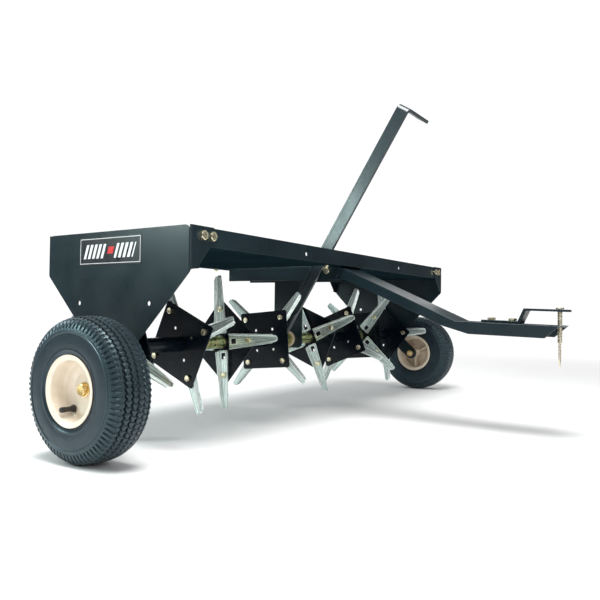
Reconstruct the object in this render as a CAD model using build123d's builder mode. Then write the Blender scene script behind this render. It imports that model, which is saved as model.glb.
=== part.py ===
"""Tow-behind spoon aerator: a weight tray between two end plates on a hitch tongue, four tine
drums on a cross shaft below it, and two wheels on arms that a hand lever swings with the shaft.

Millimetres. +Z up with the ground at Z = 0, +Y to the rear (the hitch points to -Y), and X = 0
in the middle of the machine, so its right-hand side is -X. The wheels are down, for transport.
Places called "from the shaft" are Y distances from the lift shaft.
"""
from build123d import *
import os
from math import cos, hypot, radians, sin

os.makedirs("parts", exist_ok=True)

# ---------------------------------------------------------------- shared dimensions
y_shaft = 257.75        # lift shaft axis; centres the whole machine on Y = 0
z_shaft = 193.6
shaft_r = 12.7
fit_gap = 0.02          # radial gap of parts fixed on the shaft
run_gap = 0.05          # radial gap of parts that turn

half_w = 609.5          # outer face of an end plate
plate_t = 3.0           # end plate sheet
tray_half = 201.5       # outer face of the front and rear beams, from the shaft
tray_t = 2.5
z_floor = 385.0         # underside of the tray floor
z_floor_top = z_floor + tray_t
plate_half_y = tray_half + plate_t      # outer face of an end plate flange, from the shaft

tongue_half = 50.0
tongue_t = 4.0
hanger_t = 4.0
bush_r = 16.4

# bolt places; (x, y from the shaft) for those through the tray floor
corner_bolt_x = (552.0, 577.0)
corner_bolt_z = 405.0
tongue_bolts_xy = [(x, y) for x in (-25, 25) for y in (-176, 150)]
hanger_bolts_xy = [(22, -17), (22, 33)]
guide_bolts_xy = [(-94, -176), (-94, 182)]
corner_hole_r = 5.4
bolt_hole_r = 5.2
guide_hole_r = 3.3
small_hole_r = 4.5      # beam holes and accessory holes of the end plates

# lever slot in the tray floor and in the guide on top of it
slot_x0, slot_x1 = -72.0, -51.0
slot_y0, slot_y1 = -158.0, 168.0
slot_centre = ((slot_x0 + slot_x1) / 2, (slot_y0 + slot_y1) / 2)
slot_size = (slot_x1 - slot_x0, slot_y1 - slot_y0)

wheel_x = 721.0         # centre plane of a wheel
wheel_y = -74.5         # wheel axis, from the shaft
wheel_z = 128.0         # wheel axis height, also the tyre's outer radius
axle_r = 6.0


# ---------------------------------------------------------------- planes and directions
def side(x, y=0.0, z=0.0):
    """Plane facing +X, its origin y from the shaft; sketch axes are Y and Z."""
    return Plane(origin=(x, y_shaft + y, z), x_dir=(0, 1, 0), z_dir=(1, 0, 0))


def on_shaft(x):
    """Plane facing +X, centred on the shaft."""
    return side(x, 0.0, z_shaft)


def front(y):
    """Plane facing -Y at y from the shaft; sketch axes are X and Z."""
    return Plane(origin=(0, y_shaft + y, 0), x_dir=(1, 0, 0), z_dir=(0, -1, 0))


def level(z):
    """Plane facing +Z; sketch axes are X and Y from the shaft."""
    return Plane(origin=(0, y_shaft, z), x_dir=(1, 0, 0), z_dir=(0, 0, 1))


def down(x, y, z):
    """Plane facing -Z, its origin y from the shaft."""
    return Plane(origin=(x, y_shaft + y, z), x_dir=(1, 0, 0), z_dir=(0, 0, -1))


def flipped(plane):
    return Plane(origin=plane.origin, x_dir=plane.x_dir, z_dir=-plane.z_dir)


def radial(degrees):
    """Direction square to X, turned from +Y towards +Z."""
    return (0, cos(radians(degrees)), sin(radians(degrees)))


def at_y(vertices, y, tolerance=0.5):
    """Those of the vertices whose Y is y from the shaft."""
    return [v for v in vertices if abs(v.Y - y_shaft - y) < tolerance]


# ---------------------------------------------------------------- shapes
# These act on the part that is being built when they are called. Each one runs along the
# normal of its plane.
def rod(plane, radius, length):
    with BuildSketch(plane) as profile:
        Circle(radius)
    extrude(profile.sketch, amount=length)


def sleeve(plane, outer_r, bore_r, length):
    with BuildSketch(plane) as profile:
        Circle(outer_r)
        Circle(bore_r, mode=Mode.SUBTRACT)
    extrude(profile.sketch, amount=length)


def drill(plane, depth, points, radius):
    with BuildSketch(plane) as holes:
        with Locations(*points):
            Circle(radius)
    extrude(holes.sketch, amount=depth, mode=Mode.SUBTRACT)


def hex_r(flats):
    """Corner radius of a hexagon from its width across flats."""
    return flats / 2 / cos(radians(30))


def hex_head(plane, flats, height):
    with BuildSketch(plane) as profile:
        RegularPolygon(hex_r(flats), 6)
    extrude(profile.sketch, amount=height)


def hex_nut(plane, grip, shank_r, flats, height):
    with BuildSketch(plane.offset(grip)) as profile:
        RegularPolygon(hex_r(flats), 6)
        Circle(shank_r + 0.03, mode=Mode.SUBTRACT)
    extrude(profile.sketch, amount=height)


def save(builder, name):
    builder.part.label = name
    export_step(builder.part, "parts/%s.step" % name)


# ---------------------------------------------------------------- bolt sizes
# tail: length of shank that stands out past the nut
bolt_10 = dict(shank_r=5.0, flats=16.0, head_h=6.0, nut_h=8.0, tail=3.0)
bolt_10_low = {**bolt_10, "head_h": 5.5}
bolt_8 = dict(shank_r=4.0, flats=12.5, head_h=5.0, nut_h=6.0, tail=2.0)
bolt_6 = dict(shank_r=3.0, flats=10.0, head_h=4.0, nut_h=5.0, tail=2.0)


def bolt(plane, grip, size):
    """The head stands behind the plane, and the nut seats at grip in front of it."""
    hex_head(flipped(plane), size["flats"], size["head_h"])
    rod(plane, size["shank_r"], grip + size["nut_h"] + size["tail"])


def nut(plane, grip, size):
    hex_nut(plane, grip, size["shank_r"], size["flats"], size["nut_h"])


def save_bolts(name, size, places):
    """One file of bolts with their nuts; places are (head plane, grip)."""
    with BuildPart() as fasteners:
        for plane, grip in places:
            bolt(plane, grip, size)
            nut(plane, grip, size)
    save(fasteners, name)


# ---------------------------------------------------------------- weight tray
# one pressed pan: flat floor with an upstand beam along the front and the rear
z_beam_top = 421.0
tray_len = half_w - plate_t - 0.3       # half length, clear of the end plates
beam_holes = [(-224.0, 400.0), (276.0, 400.0)]      # x, z
beam_inner = tray_half - tray_t

with BuildPart() as tray_pan:
    with BuildSketch(side(-tray_len)) as profile:
        with BuildLine():
            Polyline((-tray_half, z_beam_top), (-tray_half, z_floor), (tray_half, z_floor),
                     (tray_half, z_beam_top), (beam_inner, z_beam_top),
                     (beam_inner, z_floor_top), (-beam_inner, z_floor_top),
                     (-beam_inner, z_beam_top), close=True)
        make_face()
        fillet([v for v in profile.vertices() if abs(v.Z - z_floor) < 0.1], 5.5)
        fillet([v for v in profile.vertices() if abs(v.Z - z_floor_top) < 0.1], 3.0)
    extrude(amount=2 * tray_len)
    with BuildSketch(level(z_floor - 1)):
        with Locations(slot_centre):
            RectangleRounded(*slot_size, 8)
    extrude(amount=6, mode=Mode.SUBTRACT)
    # corner holes go through both beams, the beam holes through the front one only
    corner_points = [(sx * x, corner_bolt_z) for sx in (-1, 1) for x in corner_bolt_x]
    drill(front(-tray_half - 5), -(2 * tray_half + 10), corner_points, corner_hole_r)
    drill(front(-tray_half - 5), -20, beam_holes, small_hole_r)
    drill(level(z_floor - 1), 6, tongue_bolts_xy + hanger_bolts_xy, bolt_hole_r)
    drill(level(z_floor - 1), 6, guide_bolts_xy, guide_hole_r)
save(tray_pan, "tray_pan")

# ---------------------------------------------------------------- end plates
# sheet with tapered lower corners, its front and rear edges turned inboard over the beams
z_plate_top = 422.0
z_taper = 339.0         # where the 45 degree taper starts
z_nose = 158.0          # bottom of the plate
nose_y = plate_half_y - (z_taper - z_nose)
accessory_y = 100.7
accessory_z = 279.6
# x, z of a flange on the right-hand plate
flange_outline = [(-half_w, z_plate_top), (-545.5, z_plate_top), (-557.0, z_floor - 2),
                  (-585.0, 350.0), (-585.0, 344.0), (-half_w, 341.0)]

with BuildPart() as end_plate_right:
    with BuildSketch(side(-half_w)) as profile:
        with BuildLine():
            Polyline((-plate_half_y, z_taper), (-plate_half_y, z_plate_top),
                     (plate_half_y, z_plate_top), (plate_half_y, z_taper),
                     (nose_y, z_nose), (-nose_y, z_nose), close=True)
        make_face()
        fillet([v for v in profile.vertices() if v.Z < z_nose + 1], 16)
        with Locations((-accessory_y, accessory_z), (accessory_y, accessory_z)):
            Circle(small_hole_r, mode=Mode.SUBTRACT)
        with Locations((0, z_shaft)):
            Circle(bush_r + 0.1, mode=Mode.SUBTRACT)
    extrude(amount=plate_t)
    for end in (-1, 1):
        with BuildSketch(front(end * plate_half_y)):
            with BuildLine():
                Polyline(*flange_outline, close=True)
            make_face()
            with Locations(*[(-x, corner_bolt_z) for x in corner_bolt_x]):
                Circle(corner_hole_r, mode=Mode.SUBTRACT)
        extrude(amount=plate_t * end)
    # outer edges of the two bends
    bends = end_plate_right.edges().filter_by(Axis.Z).filter_by(
        lambda e: abs(e.center().X + half_w) < 0.05
        and abs(abs(e.center().Y - y_shaft) - plate_half_y) < 0.05
        and e.center().Z > 345)
    fillet(bends, 4.5)
save(end_plate_right, "end_plate_right")

with BuildPart() as end_plate_left:
    mirror(end_plate_right.part, about=Plane.YZ)
save(end_plate_left, "end_plate_left")

# thin printed panel on each end plate
decal_t = 0.5
with BuildPart() as side_decals:
    for x in (-half_w - decal_t, half_w):
        with BuildSketch(side(x)):
            with Locations((11, 383.5)):
                RectangleRounded(182, 57, 4)
        extrude(amount=decal_t)
save(side_decals, "side_decals")

# corner bolts: heads outside, nuts inside the tray
corner_planes = [
    Plane(origin=(sx * x, y_shaft + sy * plate_half_y, corner_bolt_z),
          x_dir=(1, 0, 0), z_dir=(0, -sy, 0))
    for sy in (-1, 1) for sx in (-1, 1) for x in corner_bolt_x]
with BuildPart() as corner_bolts:
    for plane in corner_planes:
        bolt(plane, plate_t + tray_t, bolt_10)
save(corner_bolts, "corner_bolts")
with BuildPart() as corner_nuts:
    for plane in corner_planes:
        nut(plane, plate_t + tray_t, bolt_10)
save(corner_nuts, "corner_nuts")

# ---------------------------------------------------------------- tongue
# one inverted channel, bent down in front of the tray and nearly level at the hitch
pin_y = -704.5          # hitch pin, from the shaft
pin_r = 4.75
pin_hole_r = pin_r + 0.4
strap_bolt_y = (-558, -605)
strap_bolts_xy = [(0, y) for y in strap_bolt_y]
cross_bolt = (-151, 374.5)      # y, z
spare_hole = (-184, 358)
# y from the shaft, z: the web from rear to front, then the lower edge back again
tongue_outline = [(173, z_floor), (-186, z_floor), (-490, 251.6), (-714, 245.0),
                  (-684, 218.5), (-520, 223.0), (-460, 240.0), (-206, 349.5), (173, 352.0)]
# the hollow follows the underside of the web and runs out past the ends and below
tongue_hollow = [(180, z_floor - tongue_t), (-185.2, z_floor - tongue_t),
                 (-489.2, 251.6 - tongue_t), (-740, 244.2 - tongue_t), (-740, 150), (180, 150)]

with BuildPart() as tongue:
    with BuildSketch(side(-tongue_half)) as profile:
        with BuildLine():
            Polyline(*tongue_outline, close=True)
        make_face()
        for y, radius in ((-186, 60), (-490, 60), (-206, 60), (-684, 14)):
            fillet(at_y(profile.vertices(), y, tolerance=1), radius)
    extrude(amount=2 * tongue_half)
    with BuildSketch(side(-tongue_half + tongue_t)) as profile:
        with BuildLine():
            Polyline(*tongue_hollow, close=True)
        make_face()
        for y, radius in ((-185.2, 56), (-489.2, 64)):
            fillet(at_y(profile.vertices(), y), radius)
    extrude(amount=2 * (tongue_half - tongue_t), mode=Mode.SUBTRACT)
    # holes in the web: at the hitch, then under the tray
    drill(level(200), 60, [(0, pin_y)], pin_hole_r)
    drill(level(200), 60, strap_bolts_xy, bolt_hole_r)
    drill(level(370), 20, tongue_bolts_xy + hanger_bolts_xy, bolt_hole_r)
    # holes through both sides
    drill(side(-60), 120, [cross_bolt], bolt_hole_r)
    drill(side(-60), 120, [spare_hole], 3.5)
save(tongue, "tongue")

save_bolts("tongue_bolts", bolt_10,
           [(down(x, y, z_floor_top), tray_t + tongue_t) for x, y in tongue_bolts_xy]
           + [(side(-tongue_half, *cross_bolt), 2 * tongue_half)])

# ---------------------------------------------------------------- hitch
# strap bolted on top of the tongue and stepped up at the front
strap_w = 38
strap_front = -726
strap_rear = -537
# y from the shaft, z: upper face from rear to front, then the lower face back again
strap_outline = [(strap_rear, 255.5), (-620, 253.1), (-633, 281.7), (strap_front, 279.4),
                 (strap_front, 274.4), (-638.6, 276.55), (-625.4, 248.0), (strap_rear, 250.5)]

with BuildPart() as hitch_strap:
    with BuildSketch(side(-strap_w / 2)) as profile:
        with BuildLine():
            Polyline(*strap_outline, close=True)
        make_face()
        for y, radius in ((-620, 4), (-633, 9), (-638.6, 4), (-625.4, 9)):
            fillet(at_y(profile.vertices(), y), radius)
    extrude(amount=strap_w)
    drill(level(240), 60, [(0, pin_y)], pin_hole_r)
    drill(level(240), 60, strap_bolts_xy, bolt_hole_r)
    strap_corners = hitch_strap.edges().filter_by(Axis.Z).filter_by(
        lambda e: abs(e.center().Y - y_shaft - strap_front) < 0.5
        or abs(e.center().Y - y_shaft - strap_rear) < 0.5)
    fillet(strap_corners, 10)
save(hitch_strap, "hitch_strap")

strap_seat_z = 255.35   # head seat of the rear strap bolt
strap_slope = 0.03      # fall of the seats towards the front
save_bolts("strap_bolts", bolt_10_low,
           [(down(0, y, strap_seat_z + (y - strap_bolt_y[0]) * strap_slope), 10.1)
            for y in strap_bolt_y])

clip_z = 214.0          # cross hole of the pin, which the clip passes through
pin_head_z = 280.4
pin_head_t = 3.4
with BuildPart() as hitch_pin:
    rod(Plane(origin=(0, y_shaft + pin_y, 207.0)), pin_r, 75.0)
    rod(Plane(origin=(0, y_shaft + pin_y, pin_head_z)), 8.5, pin_head_t)
    fillet(hitch_pin.edges().filter_by(GeomType.CIRCLE).filter_by(
        lambda e: e.center().Z > 283.5), 1.0)
    chamfer(hitch_pin.edges().filter_by(GeomType.CIRCLE).group_by(Axis.Z)[0], 1.5)
    drill(side(-10, pin_y, clip_z), 20, [(0, 0)], 1.7)
save(hitch_pin, "hitch_pin")

# wire clip that hangs down from the cross hole
with BuildPart() as hitch_clip:
    with BuildLine(front(pin_y)) as wire:
        FilletPolyline((-2.4, 158), (-8.0, 176), (-8.0, clip_z), (8.0, clip_z), (8.0, 176),
                       (2.4, 158), radius=3.5)
    with BuildSketch(Plane(origin=wire.wires()[0] @ 0, z_dir=wire.wires()[0] % 0)):
        Circle(1.3)
    sweep()
save(hitch_clip, "hitch_clip")

# ---------------------------------------------------------------- centre hanger and bushes
# angle under the tongue: a web across X that carries the shaft, and a top leg towards +X
hanger_y = 3            # middle of the hanger, from the shaft
hanger_w = 92
hanger_low, hanger_top = 170, 381
with BuildPart() as center_hanger:
    with BuildSketch(side(0)) as profile:
        with Locations((hanger_y, (hanger_low + hanger_top) / 2)):
            Rectangle(hanger_w, hanger_top - hanger_low)
        fillet([v for v in profile.vertices() if v.Z < 200], 14)
        with Locations((0, z_shaft)):
            Circle(bush_r + 0.1, mode=Mode.SUBTRACT)
    extrude(amount=hanger_t)
    with BuildSketch(side(0)):
        with Locations((hanger_y, hanger_top - hanger_t / 2)):
            Rectangle(hanger_w, hanger_t)
    extrude(amount=40)
    fillet(center_hanger.edges().filter_by(Axis.Y).filter_by(
        lambda e: abs(e.center().X) < 0.05 and e.center().Z > 380), 3.5)
    drill(level(370), 20, hanger_bolts_xy, bolt_hole_r)
save(center_hanger, "center_hanger")

save_bolts("hanger_bolts", bolt_10,
           [(down(x, y, z_floor_top), tray_t + tongue_t + hanger_t) for x, y in hanger_bolts_xy])

# flanged bushes of the lift shaft
bush_flange_r = 21.5
bush_flange_t = 3.0
bush_spans = (          # sleeve start, flange start, sleeve end
    (-half_w - bush_flange_t, -half_w - bush_flange_t, -half_w + plate_t + 1.0),
    (-bush_flange_t, -bush_flange_t, 6.0),
    (half_w - plate_t - 1.0, half_w, half_w + bush_flange_t),
)
with BuildPart() as shaft_bushings:
    for start, flange_start, end in bush_spans:
        sleeve(on_shaft(start), bush_r, shaft_r + run_gap, end - start)
        sleeve(on_shaft(flange_start), bush_flange_r, shaft_r + run_gap, bush_flange_t)
save(shaft_bushings, "shaft_bushings")

# ---------------------------------------------------------------- lever guide
# slotted plate on the tray floor, with a notch beside each end of the slot
guide_t = 3.0
guide_x0, guide_x1 = -104, -38
with BuildPart() as lever_guide:
    with BuildSketch(level(z_floor_top)):
        with Locations(((guide_x0 + guide_x1) / 2, 3)):
            RectangleRounded(guide_x1 - guide_x0, 378, 8)
        with Locations(slot_centre):
            RectangleRounded(*slot_size, 6, mode=Mode.SUBTRACT)
        for notch_y, notch_len in ((-133, 42), (143, 44)):
            with Locations((-76, notch_y)):
                RectangleRounded(24, notch_len, 3, mode=Mode.SUBTRACT)
        with Locations(*guide_bolts_xy):
            Circle(guide_hole_r, mode=Mode.SUBTRACT)
    extrude(amount=guide_t)
save(lever_guide, "lever_guide")

save_bolts("guide_bolts", bolt_6,
           [(down(x, y, z_floor_top + guide_t), tray_t + guide_t) for x, y in guide_bolts_xy])

# ---------------------------------------------------------------- lift shaft
shaft_half = 668.0
with BuildPart() as lift_shaft:
    rod(on_shaft(-shaft_half), shaft_r, 2 * shaft_half)
    chamfer(lift_shaft.edges().filter_by(GeomType.CIRCLE), 1.0)
save(lift_shaft, "lift_shaft")

# plain tubes between the parts on the shaft: start and end X
spacer_r = 15.0
spacer_spans = (
    (-655.8, -612.9), (-604.9, -591.6), (-413.9, -281.1), (-101.4, -84.4), (-63.6, -3.4),
    (6.4, 101.4), (281.1, 413.9), (591.6, 604.9), (612.9, 655.8),
)
with BuildPart() as shaft_spacers:
    for start, end in spacer_spans:
        sleeve(on_shaft(start), spacer_r, shaft_r + fit_gap, end - start)
save(shaft_spacers, "shaft_spacers")

# ---------------------------------------------------------------- wheel arms
arm_x = 656.0           # inboard face of an arm
arm_t = 8.0
arm_w = 38.0


def save_wheel_arm(x, name):
    """Round-ended bar from the shaft to the wheel axis; x is its lower X face."""
    rise = wheel_z - z_shaft
    length = hypot(wheel_y, rise)
    middle = Plane(origin=(x, y_shaft + wheel_y / 2, (z_shaft + wheel_z) / 2),
                   x_dir=(0, wheel_y / length, rise / length), z_dir=(1, 0, 0))
    with BuildPart() as arm:
        with BuildSketch(middle):
            SlotCenterToCenter(length, arm_w)
            with Locations((-length / 2, 0)):
                Circle(shaft_r + fit_gap, mode=Mode.SUBTRACT)
            with Locations((length / 2, 0)):
                Circle(axle_r + 0.1, mode=Mode.SUBTRACT)
        extrude(amount=arm_t)
        chamfer(arm.edges().filter_by(lambda e: e.length > 30).filter_by(GeomType.LINE), 0.8)
    save(arm, name)


save_wheel_arm(-arm_x - arm_t, "arm_right")
save_wheel_arm(arm_x, "arm_left")

# ---------------------------------------------------------------- lever
lever_angle = 32.4      # forward lean
lever_w = 32.0
lever_t = 8.0
lever_x = -64.0         # -X face of the bar
lever_low = 24          # bottom of the bar, along the lever from the shaft
lever_top = 674.0       # top face of the grip, likewise
grip_end_x = 62.0
bar_mid = -6.75         # centre line of the bar, in front of the shaft centre
bar_front = bar_mid - lever_w / 2
bar_rear = bar_mid + lever_w / 2
lever_bolt_v = (45, 80)     # bolts that hold the bar, along the lever
lever_holes = [(bar_mid, v) for v in lever_bolt_v]


def lever_plane(x):
    """Plane facing +X on the shaft; sketch u is square to the bar (rear and up), v runs up it."""
    return Plane(origin=(x, y_shaft, z_shaft), x_dir=radial(lever_angle), z_dir=(1, 0, 0))


def height_on_lever(edge):
    along = Vector(*radial(lever_angle + 90))
    return (edge.center() - Vector(lever_x, y_shaft, z_shaft)).dot(along)


# flat bar with its top turned towards +X as a grip
with BuildPart() as lift_lever:
    with BuildSketch(lever_plane(lever_x)):
        with Locations((bar_mid, (lever_low + lever_top) / 2)):
            Rectangle(lever_w, lever_top - lever_low)
        with Locations(*lever_holes):
            Circle(bolt_hole_r, mode=Mode.SUBTRACT)
    extrude(amount=lever_t)
    with BuildSketch(lever_plane(lever_x)):
        with Locations((bar_mid, lever_top - lever_t / 2)):
            Rectangle(lever_w, lever_t)
    extrude(amount=grip_end_x - lever_x)
    # outer and inner edge of the bend, found before either is rounded
    cross_edges = lift_lever.edges().filter_by(
        lambda e: e.geom_type == GeomType.LINE and abs(e.length - lever_w) < 0.01)
    bend_outer = cross_edges.filter_by(
        lambda e: abs(e.center().X - lever_x) < 0.01 and height_on_lever(e) > lever_top - 0.1)
    bend_inner = cross_edges.filter_by(
        lambda e: abs(e.center().X - lever_x - lever_t) < 0.01
        and abs(height_on_lever(e) - lever_top + lever_t) < 0.1)
    fillet(bend_outer, 13)
    fillet(bend_inner, 5)
    grip_corners = lift_lever.edges().filter_by(
        lambda e: e.geom_type == GeomType.LINE and abs(e.length - lever_t) < 0.01
        and abs(e.center().X - grip_end_x) < 0.01)
    fillet(grip_corners, 8)
save(lift_lever, "lift_lever")

# hub on the shaft with the lug that the lever is bolted to
hub_x = -84.0
lug_x = lever_x - lever_t
hub_end_x = lever_x - 0.1
with BuildPart() as lever_hub:
    sleeve(lever_plane(hub_x), 20.5, shaft_r + fit_gap, hub_end_x - hub_x)
    with BuildSketch(lever_plane(lug_x)) as lug:
        with BuildLine():
            Polyline((-20.3, 0), (bar_front, 30), (bar_front, 97), (bar_rear, 97),
                     (bar_rear, 30), (20.3, 0), close=True)
        make_face()
        Circle(shaft_r + fit_gap, mode=Mode.SUBTRACT)
        with Locations(*lever_holes):
            Circle(bolt_hole_r, mode=Mode.SUBTRACT)
    extrude(lug.sketch, amount=hub_end_x - lug_x)
save(lever_hub, "lever_hub")

save_bolts("lever_bolts", bolt_10,
           [(Plane(origin=lever_plane(lug_x).from_local_coords((bar_mid, v, 0)),
                   x_dir=radial(lever_angle), z_dir=(1, 0, 0)), 2 * lever_t)
            for v in lever_bolt_v])

# ---------------------------------------------------------------- tine spoons
spoon_root = 20.0       # radius where a spoon starts
spoon_tip = 160.0
spoon_t = 2.4
spoon_d = 9.0           # depth of the trough
spoon_bolt_r = 78.5     # radius of the spoon bolts
spoon_hole_r = 4.3
# x, y of half the outline: cut corner at the root, rounded tip
half_outline = [(spoon_root, -11), (spoon_root + 9, -25), (spoon_tip - 9, -25),
                (spoon_tip - 9, -9.0), (spoon_tip - 3, -6.5), (spoon_tip, -3.0)]
spoon_outline = half_outline + [(x, -y) for x, y in reversed(half_outline)]


def trough_face(x, rim_w, web_w):
    """Cross-section of a spoon at radius x: a flat web with two splayed sides."""
    with BuildSketch(Plane(origin=(x, 0, 0), x_dir=(0, 1, 0), z_dir=(1, 0, 0))) as section:
        with BuildLine():
            Polyline((-web_w / 2, 0), (web_w / 2, 0), (rim_w / 2, spoon_d),
                     (rim_w / 2 - spoon_t * 1.15, spoon_d),
                     (web_w / 2 - spoon_t * 0.55, spoon_t),
                     (-web_w / 2 + spoon_t * 0.55, spoon_t),
                     (-rim_w / 2 + spoon_t * 1.15, spoon_d), (-rim_w / 2, spoon_d), close=True)
        make_face()
    return section.sketch.faces()[0]


# in its own frame: x is radial, y is across, z stands away from the tine plate
with BuildPart() as spoon:
    loft([trough_face(spoon_root, rim_w=39.0, web_w=29.0),
          trough_face(spoon_tip, rim_w=19.5, web_w=10.5)], ruled=True)
    with BuildSketch(Plane.XY.offset(-1)):
        with BuildLine():
            Polyline(*spoon_outline, close=True)
        make_face()
    extrude(amount=20, mode=Mode.INTERSECT)
    # rectangular window near the root, and the bolt hole
    with BuildSketch(Plane.XY.offset(-1)):
        with Locations((33.5, 0)):
            Rectangle(15, 12.5)
        with Locations((spoon_bolt_r, 0)):
            Circle(spoon_hole_r)
    extrude(amount=6, mode=Mode.SUBTRACT)

# ---------------------------------------------------------------- tine drums
tine_plate = 146.0      # side of the square plate
tine_plate_t = 3.0
tube_r = 16.0
hub_ring_r = 18.5
tube_over = 7.0         # length of tube past the middle of a plate
hub_ring_len = tube_over - tine_plate_t / 2 - 0.05
# two plates per drum: middle X, X direction its spoons face, angle of the first spoon
drums = {
    1: ((-584.0, -1, 24.0), (-421.5, 1, -21.0)),
    2: ((-273.5, -1, -5.0), (-109.0, 1, 40.0)),
    3: ((109.0, -1, -23.0), (273.5, 1, 22.5)),
    4: ((421.5, -1, 40.0), (584.0, 1, -6.0)),
}


def save_tine_plate(x, angle, name):
    """Square plate with a corner behind each spoon."""
    with BuildPart() as plate:
        with BuildSketch(Plane(origin=(x - tine_plate_t / 2, y_shaft, z_shaft),
                               x_dir=radial(angle - 45), z_dir=(1, 0, 0))):
            RectangleRounded(tine_plate, tine_plate, 5)
            Circle(tube_r + 0.05, mode=Mode.SUBTRACT)
            for half_pitch, radius in ((55.51, spoon_hole_r), (26.5, 3.6)):
                with GridLocations(2 * half_pitch, 2 * half_pitch, 2, 2):
                    Circle(radius, mode=Mode.SUBTRACT)
        extrude(amount=tine_plate_t)
    save(plate, name)


def save_spoons(x, facing, angle, name):
    """Four spoons on the face of a plate."""
    with BuildPart() as spoons:
        for k in range(4):
            seat = Plane(origin=(x + facing * tine_plate_t / 2, y_shaft, z_shaft),
                         x_dir=radial(angle + 90 * k), z_dir=(facing, 0, 0))
            add(seat.location * spoon.part)
    save(spoons, name)


def save_drum_tube(x_a, x_b, name):
    """Tube that joins the two plates, with a ring outside each of them."""
    bore_r = shaft_r + run_gap
    with BuildPart() as drum_tube:
        sleeve(on_shaft(x_a - tube_over), tube_r, bore_r, x_b - x_a + 2 * tube_over)
        for ring_x in (x_a - tube_over, x_b + tine_plate_t / 2 + 0.05):
            sleeve(on_shaft(ring_x), hub_ring_r, bore_r, hub_ring_len)
    save(drum_tube, name)


def spoon_bolt_places(x, facing, angle):
    """Heads towards the right-hand side (-X), nuts on the other side."""
    head_x = x - tine_plate_t / 2 - (spoon_t if facing < 0 else 0.0)
    places = []
    for k in range(4):
        out = radial(angle + 90 * k)
        centre = (head_x, y_shaft + spoon_bolt_r * out[1], z_shaft + spoon_bolt_r * out[2])
        places.append((Plane(origin=centre, x_dir=out, z_dir=(1, 0, 0)),
                       tine_plate_t + spoon_t))
    return places


for number, plates in drums.items():
    for tag, (x, facing, angle) in zip("ab", plates):
        save_tine_plate(x, angle, "tine_plate_%d%s" % (number, tag))
        save_spoons(x, facing, angle, "spoons_%d%s" % (number, tag))
    save_drum_tube(plates[0][0], plates[1][0], "drum_tube_%d" % number)
    save_bolts("spoon_bolts_%d" % number, bolt_8,
               spoon_bolt_places(*plates[0]) + spoon_bolt_places(*plates[1]))

# ---------------------------------------------------------------- wheels
# profiles are (distance outboard of the wheel's centre plane, radius)
hub_out = 7.0           # outboard end of the wheel hub
hub_in = -41.0          # inboard end
# half profiles of the tyre: outside from bead to tread, inside from tread to bead
tyre_outside = [
    (37.6, 55.2), (39.2, 61.8), (39.9, 63.4), (41.7, 69.0), (43.0, 80.0), (43.0, 92.0),
    (41.8, 104.0), (38.5, 114.0), (33.0, 121.5), (24.0, 125.6), (12.0, 127.5), (0.0, wheel_z),
]
tyre_inside = [(20.0, 119.5), (33.5, 112.0), (37.2, 90.0), (35.5, 72.0), (31.5, 62.0),
               (30.5, 54.9)]
tyre_profile = ([(-a, r) for a, r in tyre_outside] + tyre_outside[-2::-1]
                + tyre_inside[::-1] + [(-a, r) for a, r in tyre_inside])
# barrel, dished disc and hub in one
rim_profile = [
    (-42.0, 62.0), (-39.8, 62.0), (-38.0, 54.8), (-20.0, 54.0), (-14.0, 52.0), (14.0, 52.0),
    (20.0, 54.0), (38.0, 54.8), (39.8, 62.0), (42.0, 62.0), (42.0, 59.8), (41.4, 59.2),
    (40.0, 52.8), (38.6, 52.2), (21.0, 51.4), (17.0, 50.6), (13.5, 49.2), (11.5, 46.5),
    (10.5, 40.0), (9.0, 34.0), (6.8, 28.0), (6.8, 15.0), (hub_out, 14.6), (hub_out, 9.0),
    (hub_in, 9.0), (hub_in, 13.5), (4.0, 15.0), (4.0, 28.6), (6.4, 34.4), (7.8, 40.4),
    (8.8, 46.8), (8.4, 49.4), (-14.4, 49.4), (-20.6, 51.4), (-38.6, 52.2), (-40.0, 52.8),
    (-41.4, 59.2), (-42.0, 59.8),
]
bush_profile = [(hub_in, axle_r + run_gap), (hub_in, 8.97), (hub_out, 8.97),
                (hub_out, axle_r + run_gap)]
rib_in, rib_out = 12.0, 50.0    # radii between which a rib runs
rib_w = 6.0
stem_r_pos = 40.5       # radius at which the valve stem sits


def revolve_profile(outboard, points):
    """Turn a profile about the wheel axis; outboard is -1 for the right wheel, 1 for the left."""
    centre = (outboard * wheel_x, y_shaft + wheel_y, wheel_z)
    with BuildSketch(Plane(origin=centre, x_dir=(outboard, 0, 0), z_dir=(0, -1, 0))) as profile:
        with BuildLine():
            Polyline(*points, close=True)
        make_face()
    revolve(profile.sketch, axis=Axis(centre, (1, 0, 0)))


def save_turned(outboard, points, name):
    with BuildPart() as turned:
        revolve_profile(outboard, points)
    save(turned, name)


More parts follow.
